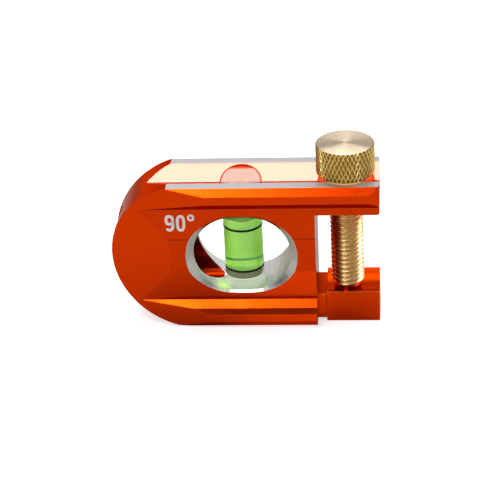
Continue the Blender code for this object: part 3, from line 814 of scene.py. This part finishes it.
# Painted shade in the knurl's pits and in the thread's roots.
BRASS_PIT_SHADE = (0.27, 0.155, 0.035, 1)
BRASS_ROOT_SHADE = (0.56, 0.36, 0.14, 1)
HEAD_RADIUS = 8.7 * MM
KNURL_DEPTH = 0.40 * MM
SCREW_RADIUS = 4.95 * MM
THREAD_DEPTH = 0.85 * MM
BOW = 5.0
RING_SCALE = 5200.0
RING_DEPTH = 0.006 * MM
RING_FAN = 0.9
BRASS_CLOUD_SCALE = 260.0
BRASS_GRAIN_SCALE = 2600.0
BRASS_GRAIN_DEPTH = 0.008 * MM
BOUNCE_FADE = (HEAD_RADIUS - 0.4 * MM, HEAD_RADIUS - 0.9 * MM)
BOUNCE_TONE = (1.0, 0.60, 0.12, 1)
BOUNCE_GLOW = 1.6


def brass_material(name, rough_low, rough_high, light, dark, turned=False, crest=None, root=None,
                   pit=None):
    """Bright brass with slow tone changes; turned adds rings about the screw's axis.

    Between the radii crest and root the colour falls to pit, a painted shade in the pits.
    Turned faces also bow by a hair: the bump height is the squared radius times a factor.
    """
    material, w, shader = new_material(name)
    centred = w.mapping(w.place(), (-SCREW_X, 0, 0))
    cloud = w.ramp(w.noise(centred, BRASS_CLOUD_SCALE, 3.0), *NOISE_SPREAD)
    x, y, _ = w.split(centred)
    squared = w.squares(x, y)
    from_axis = w.math("SQRT", squared)
    metal = w.blend(cloud, dark, light)
    if pit is not None:
        metal = w.blend(w.ramp(from_axis, crest, root), metal, pit)
    w.feed_all(shader, Base_Color=metal, Metallic=1.0,
               Roughness=w.ramp(cloud, 0.0, 1.0, rough_high, rough_low))
    if turned:
        rings = w.noise(w.join(w.product(from_axis, RING_SCALE)), 1.0, 3.0, 0.6)
        bowed = w.bump(w.product(squared, -BOW), 1.0, 1.0)
        w.feed_all(shader, Normal=w.bump(rings, 0.35, RING_DEPTH, bowed), Anisotropic=RING_FAN,
                   Tangent=w.join(x, y))
    else:
        grain = w.noise(centred, BRASS_GRAIN_SCALE)
        w.feed_all(shader, Normal=w.bump(grain, 0.2, BRASS_GRAIN_DEPTH))
    return material


def add_bounced_light(material):
    """Light that bounces between groove and head: a glow that fades out before the rim."""
    w = Wiring(material.node_tree)
    glow = w.blend(w.ramp(w.off_axis(SCREW_X), *BOUNCE_FADE), BLACK, BOUNCE_TONE)
    w.feed_all(material.node_tree.nodes["Principled BSDF"].inputs, Emission_Color=glow,
               Emission_Strength=BOUNCE_GLOW)


brass = brass_material("bright_brass", 0.14, 0.24, BRASS, BRASS_DARK)
brass_turned = brass_material("turned_brass", 0.20, 0.27, BRASS_TURNED, BRASS_TURNED_DARK,
                              turned=True)
brass_below = brass_material("brass_underside", 0.20, 0.30, BRASS, BRASS_DARK)
brass_knurled = brass_material("knurled_brass", 0.16, 0.26, BRASS, BRASS_DARK,
                               crest=HEAD_RADIUS - 0.10 * MM,
                               root=HEAD_RADIUS - 0.9 * KNURL_DEPTH, pit=BRASS_PIT_SHADE)
brass_threaded = brass_material("threaded_brass", 0.24, 0.32, BRASS_PALE, BRASS_PALE_DARK,
                                crest=SCREW_RADIUS - 0.5 * THREAD_DEPTH,
                                root=SCREW_RADIUS - 1.1 * THREAD_DEPTH, pit=BRASS_ROOT_SHADE)
add_bounced_light(brass_below)
nodes["screw_tip"].data.materials.clear()
nodes["screw_tip"].data.materials.append(brass)
print("screw's axis at", SCREW_X)

# %% [markdown]
# ## The thumbscrew's head
# A knurling tool presses rows of small diamond pits into the rim, so that a net of slanting
# ridges is left standing. A bump map would look right from the front and flat against the
# background, so here the pits are real: the radius drops where no ridge of either slant is near.

# %% Knurled head
HEAD_LOW = 46.7 * MM
HEAD_TOP = SCREW_HIGH.z
HEAD_EASE = 0.35 * MM
HEAD_BREAK = 0.03 * MM
TOP_DOME = 0.04 * MM
TOP_RINGS = 12
KNURL_TEETH = 41
KNURL_PITCH = 2.9 * MM
KNURL_STEEPNESS = 1.5
COLUMNS_PER_TOOTH = 12
HEAD_COLUMNS = KNURL_TEETH * COLUMNS_PER_TOOTH
KNURL_RINGS = 72


def ridge(phase):
    """1 on a ridge and 0 half way to the next: a triangle wave of the phase in turns."""
    return np.abs(2 * (phase - np.floor(phase)) - 1)


def knurl_rim():
    """Radius and height grids of the rim: the radius drops where no ridge of either slant is near.

    Ridges lie where the turn, counted in teeth, plus or minus the lean is a whole number.
    """
    rim_top = HEAD_TOP - TOP_DOME - HEAD_BREAK
    height = np.linspace(HEAD_LOW + HEAD_EASE, rim_top, KNURL_RINGS)[:, None]
    turn = np.arange(HEAD_COLUMNS) / HEAD_COLUMNS * KNURL_TEETH
    lean = (HEAD_TOP - height) / KNURL_PITCH
    crossed = np.maximum(ridge(turn + lean), ridge(turn - lean))
    return HEAD_RADIUS - KNURL_DEPTH * np.clip((1 - crossed) * KNURL_STEEPNESS, 0, 1), height


def screw_head_piece():
    """Closed head: underside, knurled rim, broken edge, and a top that is domed by a hair.

    The top's outermost ring copies the rim's last one, so the pits run out through the edge.
    """
    rim, rim_height = knurl_rim()
    eased = HEAD_RADIUS - HEAD_EASE
    low, low_height = plain_profile([(0, HEAD_LOW), (eased, HEAD_LOW)], HEAD_COLUMNS)
    share = np.linspace(1, 0, TOP_RINGS)
    top_outline = [(eased * s, HEAD_TOP - TOP_DOME * s ** 2) for s in share]
    top, top_height = plain_profile(top_outline, HEAD_COLUMNS)
    top[0] = rim[-1] - HEAD_BREAK
    radius = np.concatenate([low, rim, top])
    height = np.concatenate([low_height, rim_height, top_height])
    return turned_piece("screw_head", SCREW_X, radius, height, brass_knurled, smooth_below=30)


screw_head = screw_head_piece()
screw_head.data.materials.append(brass_turned)
screw_head.data.materials.append(brass_below)
upwards = np.array([p.normal.z for p in screw_head.data.polygons])
finish = (upwards > STEEP) + 2 * (upwards < -STEEP)
screw_head.data.polygons.foreach_set("material_index", finish.astype(np.int32))
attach(screw_head, "screw")
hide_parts("thumb_screw")
print("head triangles:", len(screw_head.data.polygons) * 2)

# %% [markdown]
# ## The threaded shank
# A thread is a V groove wound round a rod. The Screw modifier could make one, but its ends would
# need trimming. On a grid it is simpler: the radius depends on the height less the part of a
# pitch that the angle has gained, so the V climbs one pitch in a turn.

# %% Threaded shank
THREAD_PITCH = 1.5 * MM
CREST_FLAT = 0.10
GROOVE_SHARE = 0.78
SHANK_LOW = 10.79 * MM
SHANK_TOP = HEAD_LOW + 0.2 * MM
SHANK_COLUMNS = 96
ROWS_PER_PITCH = 14


def thread_piece():
    """Closed threaded rod: radius is the crest less the depth of the V at that height and angle.

    The V's phase is height over pitch less the angle in turns. A short flat is kept on the crest
    and in the root.
    """
    rows = int((SHANK_TOP - SHANK_LOW) / THREAD_PITCH * ROWS_PER_PITCH)
    height = np.linspace(SHANK_LOW, SHANK_TOP, rows)[:, None]
    turn = np.arange(SHANK_COLUMNS) / SHANK_COLUMNS
    depth = 1 - ridge((height / THREAD_PITCH - turn) + 0.5)
    depth = np.clip((depth - CREST_FLAT) / GROOVE_SHARE, 0, 1)
    body = SCREW_RADIUS - THREAD_DEPTH * depth
    core = SCREW_RADIUS - THREAD_DEPTH
    low, low_height = plain_profile([(0, SHANK_LOW), (core, SHANK_LOW)], SHANK_COLUMNS)
    top, top_height = plain_profile([(core, SHANK_TOP), (0, SHANK_TOP)], SHANK_COLUMNS)
    radius = np.concatenate([low, body, top])
    heights = np.concatenate([low_height, height, top_height])
    return turned_piece("screw_thread", SCREW_X, radius, heights, brass_threaded, smooth_below=55)


screw_thread = thread_piece()
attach(screw_thread, "screw")
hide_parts("thumb_screw")
print("thread triangles:", len(screw_thread.data.polygons) * 2)

# %% [markdown]
# ## The vial
# The vial is a clear cup, closed by a clear plug, filled with yellow-green liquid and one bubble
# of air. Glass inside glass looks right only if the surfaces nest: a gap of air between cup and
# liquid would shine like a mirror. So the liquid is drawn a hair larger than the cup's hollow,
# and light passes from cup to liquid with no air between. The liquid's dye looks as if it glows
# a little by itself, so it has a faint emission.

# %% Vial values
VIAL_LOW, VIAL_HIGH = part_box("vial_barrel")
VIAL_X = (VIAL_LOW.x + VIAL_HIGH.x) / 2
VIAL_RADIUS = VIAL_HIGH.y
VIAL_BASE = VIAL_LOW.z
VIAL_TOP = VIAL_HIGH.z
HOLLOW_RADIUS = 4.6 * MM
HOLLOW_FLOOR = 16.1 * MM
PLUG_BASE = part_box("vial_plug")[0].z
NEST = 0.02 * MM
VIAL_EASE = 0.55 * MM
VIAL_COLUMNS = 128
ACRYLIC = (0.97, 0.98, 0.93, 1)
ACRYLIC_BEND = 1.49
LIQUID = (0.245, 0.53, 0.070, 1)
LIQUID_BEND = 1.42
AIR = (0.98, 1.0, 0.97, 1)
TINT_CLOUD_SCALE = 180.0
CLOUD_DEPTH = 0.96
SHADOW_LET_THROUGH = 0.97
GLUE = (0.09, 0.08, 0.03, 1)
GLUE_LIGHT = (0.14, 0.12, 0.05, 1)
GLUE_GLOW = (0.03, 0.03, 0.01, 1)
GLUE_SCALE = 600.0
# Painted pale glow of the cup's underside, seen from below.
FOOT_TONE = (0.5, 0.6, 0.42, 1)
FOOT_GLOW = (0.52, 0.66, 0.44, 1)
# Painted glow of the liquid, stronger near its floor and top.
LIQUID_GLOW_MIDDLE = (0.34, 1.0, 0.10, 1)
LIQUID_GLOW_ENDS = (1.5, 3.4, 0.35, 1)
LIQUID_GLOW_STRENGTH = 0.05
LIQUID_GLOW_LOW_FADE = (HOLLOW_FLOOR + 3.2 * MM, HOLLOW_FLOOR + 0.6 * MM)
LIQUID_GLOW_HIGH_FADE = (PLUG_BASE - 3.6 * MM, PLUG_BASE - 1.0 * MM)
LIQUID_GLOW_HIGH_SHARE = 0.6
print("vial from", VIAL_BASE, "to", VIAL_TOP)


# %% Clear materials
def clear_material(name, colour, bend):
    """Clear body: plain transmission, tinted by its colour, with faint clouds in the tint."""
    material, w, shader = new_material(name)
    cloud = w.ramp(w.noise(w.place(), TINT_CLOUD_SCALE), *NOISE_SPREAD)
    deeper = tuple(c * CLOUD_DEPTH for c in colour[:3]) + (1,)
    shadow = w.add("LightPath").outputs["Is Shadow Ray"]
    w.feed_all(shader, Base_Color=w.blend(cloud, deeper, colour), Transmission_Weight=1.0,
               Roughness=0.0, IOR=bend,
               Alpha=w.math("MULTIPLY_ADD", shadow, -SHADOW_LET_THROUGH, 1.0))
    return material


def base_material():
    """The cup's underside: olive glue with a faint painted glow seen from inside, and a painted
    pale glow from below.
    """
    material, w, shader = new_material("vial_underside")
    from_inside = w.add("NewGeometry").outputs["Backfacing"]
    cloud = w.noise(w.place(), GLUE_SCALE)
    glue = w.blend(cloud, GLUE, GLUE_LIGHT)
    w.feed_all(shader, Base_Color=w.blend(from_inside, FOOT_TONE, glue),
               Emission_Color=w.blend(from_inside, FOOT_GLOW, GLUE_GLOW), Emission_Strength=1.0,
               Roughness=w.ramp(cloud, *NOISE_SPREAD, 0.6, 0.8))
    return material


def add_liquid_glow(material):
    """Faint painted green glow in the liquid, stronger within about 3 mm of its floor and top."""
    w = Wiring(material.node_tree)
    height = w.split(w.place())["Z"]
    ends = w.larger(w.ramp(height, *LIQUID_GLOW_LOW_FADE),
                    w.ramp(height, *LIQUID_GLOW_HIGH_FADE, 0.0, LIQUID_GLOW_HIGH_SHARE))
    w.feed_all(material.node_tree.nodes["Principled BSDF"].inputs,
               Emission_Color=w.blend(ends, LIQUID_GLOW_MIDDLE, LIQUID_GLOW_ENDS), Emission_Strength=LIQUID_GLOW_STRENGTH)


acrylic = clear_material("clear_acrylic", ACRYLIC, ACRYLIC_BEND)
underside = base_material()
liquid = clear_material("green_liquid", LIQUID, LIQUID_BEND)
air = clear_material("air_bubble", AIR, 1 / LIQUID_BEND)
add_liquid_glow(liquid)
print("clear materials ready")


# %% Vial cup and plug
def cup_piece():
    """Closed cup: base with an eased edge, outer wall, flat rim, inner wall and inner floor."""
    outline = [(0, VIAL_BASE), (VIAL_RADIUS - VIAL_EASE, VIAL_BASE),
               (VIAL_RADIUS, VIAL_BASE + VIAL_EASE), (VIAL_RADIUS, VIAL_TOP),
               (HOLLOW_RADIUS, VIAL_TOP), (HOLLOW_RADIUS, HOLLOW_FLOOR), (0, HOLLOW_FLOOR)]
    radius, height = plain_profile(outline, VIAL_COLUMNS)
    return turned_piece("vial_cup", VIAL_X, radius, height, acrylic, smooth_below=30)


def filling_piece(name, radius, low, top, material):
    """Closed upright cylinder on the vial's axis."""
    outline = [(0, low), (radius, low), (radius, top), (0, top)]
    return turned_piece(name, VIAL_X, *plain_profile(outline, VIAL_COLUMNS), material,
                        smooth_below=30)


vial_cup = cup_piece()
vial_cup.data.materials.append(underside)
at_base = np.array([p.center.z < VIAL_BASE + NEST for p in vial_cup.data.polygons])
vial_cup.data.polygons.foreach_set("material_index", at_base.astype(np.int32))
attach(vial_cup, "level")
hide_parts("vial_barrel")

vial_stopper = filling_piece("vial_stopper", HOLLOW_RADIUS + NEST / 2, PLUG_BASE, VIAL_TOP, acrylic)
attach(vial_stopper, "level")
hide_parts("vial_plug")
print("cup and plug from", VIAL_BASE, "to", VIAL_TOP)

# %% Liquid and bubble
vial_fill = filling_piece("vial_fill", HOLLOW_RADIUS + NEST, HOLLOW_FLOOR - NEST, PLUG_BASE + NEST,
                          liquid)
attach(vial_fill, "level")
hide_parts("vial_liquid")

BUBBLE_LOW, BUBBLE_TOP = (corner.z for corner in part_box("vial_bubble"))
BUBBLE_RADIUS = 3.9 * MM
BUBBLE_SQUARENESS = 3.0
BUBBLE_RINGS = 49


def bubble_piece():
    """Plump slug of air: sine and cosine of an angle, each raised to a power below 1.

    Raising both to 2 / squareness flattens the ends and widens the shoulders.
    """
    angle = np.linspace(0, math.pi, BUBBLE_RINGS)
    middle, half = (BUBBLE_LOW + BUBBLE_TOP) / 2, (BUBBLE_TOP - BUBBLE_LOW) / 2
    across, up = np.sin(angle).clip(0), -np.cos(angle)
    power = 2 / BUBBLE_SQUARENESS
    outline = np.stack([BUBBLE_RADIUS * across ** power,
                        middle + half * np.sign(up) * np.abs(up) ** power], -1)
    outline[[0, -1], 0] = 0
    return turned_piece("air_bubble", VIAL_X, *plain_profile(outline, VIAL_COLUMNS), air)


air_bubble = bubble_piece()
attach(air_bubble, "bubble")
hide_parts("vial_bubble")
print("bubble from", BUBBLE_LOW, "to", BUBBLE_TOP)

# %% [markdown]
# ## The two reading rings
# Each ring is a printed line round the cup. A texture could draw it, but a thin band of real
# thickness also shows where its far side bends behind the liquid.

# %% Rings
RING_OUTER = VIAL_RADIUS + 0.03 * MM
RING_HALF = 0.38 * MM
INK = (0.004, 0.010, 0.003, 1)
INK_LIGHT = (0.010, 0.022, 0.008, 1)
# Inner faces: teal ink with a painted glow, for ink seen through the liquid.
INK_INSIDE = (0.0, 0.05, 0.05, 1)
INK_INSIDE_LIGHT = (0.0, 0.07, 0.07, 1)
INK_GLOW = (0.0, 0.14, 0.85, 1)
INK_SCALE = 1800.0


def ink_material(name, low, high, glow=None):
    """Printed ink, slightly uneven between two tones, with a glow if one is given."""
    material, w, shader = new_material(name)
    cloud = w.noise(w.place(), INK_SCALE)
    w.feed_all(shader, Base_Color=w.blend(cloud, low, high), Specular_IOR_Level=0.1,
               Roughness=w.ramp(cloud, 0.0, 1.0, 0.4, 0.6))
    if glow is not None:
        w.feed_all(shader, Emission_Color=glow, Emission_Strength=1.0)
    return material


ring_ink = ink_material("ring_ink", INK, INK_LIGHT)
ring_back = ink_material("ring_ink_inside", INK_INSIDE, INK_INSIDE_LIGHT, INK_GLOW)


def ring_piece(name, node):
    """Closed band: its four corners go from inner low to outer low, outer top and inner top.

    Ink seen through the green liquid has a teal tone, so the faces that look inwards, whose
    normal points against their place from the axis, have an ink of their own, teal with a painted
    glow.
    """
    middle = sum(corner.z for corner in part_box(node)) / 2
    low, high = middle - RING_HALF, middle + RING_HALF
    inner = VIAL_RADIUS - NEST
    outline = [(inner, low), (RING_OUTER, low), (RING_OUTER, high), (inner, high), (inner, low)]
    radius, height = plain_profile(outline, VIAL_COLUMNS)
    ring = turned_piece(name, VIAL_X, radius, height, ring_ink, smooth_below=30)
    ring.data.materials.append(ring_back)

    normal = np.empty(len(ring.data.polygons) * 3, np.float32)
    centre = np.empty_like(normal)
    ring.data.polygons.foreach_get("normal", normal)
    ring.data.polygons.foreach_get("center", centre)
    outwards = (normal.reshape(-1, 3) * (centre.reshape(-1, 3) - (VIAL_X, 0, 0)))[:, :2].sum(1)
    ring.data.polygons.foreach_set("material_index", (outwards < -NEST).astype(np.int32))
    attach(ring, "level")
    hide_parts(node)
    return ring


ring_low = ring_piece("ring_low", "vial_ring_lower")
ring_high = ring_piece("ring_high", "vial_ring_upper")
print("rings:", ring_low.name, ring_high.name)

# %% [markdown]
# ## The angle mark
# The block carries one generic mark, the angle that the vial reads. It is laser-marked, which
# turns the dye pale. A font object would be the easy way, but a bold narrow face is wanted and
# three strokes draw it: a nought is a ring, and a nine is a smaller ring with a tail.

# %% Angle mark
MARK_LEFT, MARK_RIGHT = -23.2 * MM, -17.15 * MM
DIGIT_WIDTH = 2.75 * MM
DIGIT_STROKE = 0.84 * MM
DIGIT_SQUARENESS = 2.6
BOWL_HALF = 1.60 * MM
TAIL_RISE = 1.55 * MM
STROKE_STEPS = 48
MARK_LOW, MARK_TOP = 32.15 * MM, 37.2 * MM
FACET_TOP = (8.55 * MM, 38.75 * MM)
FACET_FOOT = (10.15 * MM, 29.4 * MM)
MARK_LIFT = 0.02 * MM
DEGREE_MIDDLE = (-15.5 * MM, 36.3 * MM)
DEGREE_OUTER = 1.08 * MM
DEGREE_INNER = 0.44 * MM
DEGREE_STEPS = 48
TAIL_TURN = math.radians(148)
MARK_TONE = (0.76, 0.72, 0.73, 1)
MARK_LIGHT = (0.86, 0.83, 0.84, 1)
MARK_SPECKLE = 4200.0


def mark_material():
    """Pale laser marking, matt."""
    material, w, shader = new_material("laser_mark")
    speckle = w.ramp(w.noise(w.place(), MARK_SPECKLE), *NOISE_SPREAD)
    w.feed_all(shader, Base_Color=w.blend(speckle, MARK_TONE, MARK_LIGHT),
               Roughness=w.ramp(speckle, 0.0, 1.0, 0.45, 0.6))
    return material


laser_mark = mark_material()
print("angle mark's material ready")


# %% Strokes
def facet_front(height):
    """Y just in front of the sloping facet: a straight line from its top to its foot."""
    slope = (FACET_FOOT[0] - FACET_TOP[0]) / (FACET_TOP[1] - FACET_FOOT[1])
    return -(FACET_TOP[0] + (FACET_TOP[1] - height) * slope) - MARK_LIFT


def mark_point(place):
    """Corner on the facet for an array of (x, z) places."""
    return np.stack([place[..., 0], facet_front(place[..., 1]), place[..., 1]], -1)


def ring_stroke(middle, half_width, half_height):
    """Closed stroke: x and z are the powers 2 / DIGIT_SQUARENESS of cosine and sine of an angle.

    The outer outline has the half sizes given, and the inner one lies a stroke's width inside.
    """
    angle = -np.arange(STROKE_STEPS) * 2 * math.pi / STROKE_STEPS
    unit = np.stack([np.cos(angle), np.sin(angle)], -1)
    unit = np.sign(unit) * np.abs(unit) ** (2 / DIGIT_SQUARENESS)
    inset = np.array([0, DIGIT_STROKE])[:, None, None]
    half = np.array([half_width, half_height]) - inset
    return mark_point(np.array(middle) + unit * half), ring_quads(2, STROKE_STEPS)[:, ::-1]


def tail_stroke(middle_x, start_height):
    """Open stroke of the nine's tail: straight down its right side, then round an ellipse.

    Each point of the middle line is moved half a stroke's width to either side of its path.
    """
    reach = DIGIT_WIDTH / 2 - DIGIT_STROKE / 2
    turn = np.linspace(0, TAIL_TURN, STROKE_STEPS)
    curve = np.stack([middle_x + reach * np.cos(turn),
                      MARK_LOW + TAIL_RISE - (TAIL_RISE - DIGIT_STROKE / 2) * np.sin(turn)], -1)
    line = np.concatenate([[[middle_x + reach, start_height]], curve])
    run = np.gradient(line, axis=0)
    run /= np.linalg.norm(run, axis=1, keepdims=True)
    side = np.stack([-run[:, 1], run[:, 0]], -1) * DIGIT_STROKE / 2
    index = np.arange(len(line) - 1)
    step = len(line)
    return (mark_point(np.stack([line + side, line - side])),
            np.stack([index, index + step, index + step + 1, index + 1], -1))


def digits_piece():
    """A nine, made of a bowl and a tail, and a nought, merged into one mesh."""
    nine_x, nought_x = MARK_LEFT + DIGIT_WIDTH / 2, MARK_RIGHT - DIGIT_WIDTH / 2
    middle, half = (MARK_LOW + MARK_TOP) / 2, (MARK_TOP - MARK_LOW) / 2
    bowl_middle = MARK_TOP - BOWL_HALF
    strokes = [ring_stroke((nine_x, bowl_middle), DIGIT_WIDTH / 2, BOWL_HALF),
               tail_stroke(nine_x, bowl_middle),
               ring_stroke((nought_x, middle), DIGIT_WIDTH / 2, half)]
    points, faces, used = [], [], 0
    for corners, quads in strokes:
        points.append(corners.reshape(-1, 3))
        faces.append(quads + used)
        used += len(points[-1])
    return piece_from_arrays("angle_digits", np.concatenate(points), np.concatenate(faces),
                             laser_mark)


def degree_piece():
    """Flat ring: two circles of points on the face, joined by quads that face the front."""
    angle = -np.arange(DEGREE_STEPS) * 2 * math.pi / DEGREE_STEPS
    radius = np.array([DEGREE_OUTER, DEGREE_INNER])[:, None]
    height = DEGREE_MIDDLE[1] + radius * np.sin(angle)
    across = DEGREE_MIDDLE[0] + radius * np.cos(angle)
    points = np.stack([across, facet_front(height), height], -1)
    quads = ring_quads(2, DEGREE_STEPS)[:, ::-1]
    return piece_from_arrays("degree_ring", points, quads, laser_mark)


for mark in (digits_piece(), degree_piece()):
    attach(mark, "level")
print("angle mark placed")

# %% [markdown]
# ## Closing
# The view layer is brought up to date.

# %% Finish
bpy.context.view_layer.update()
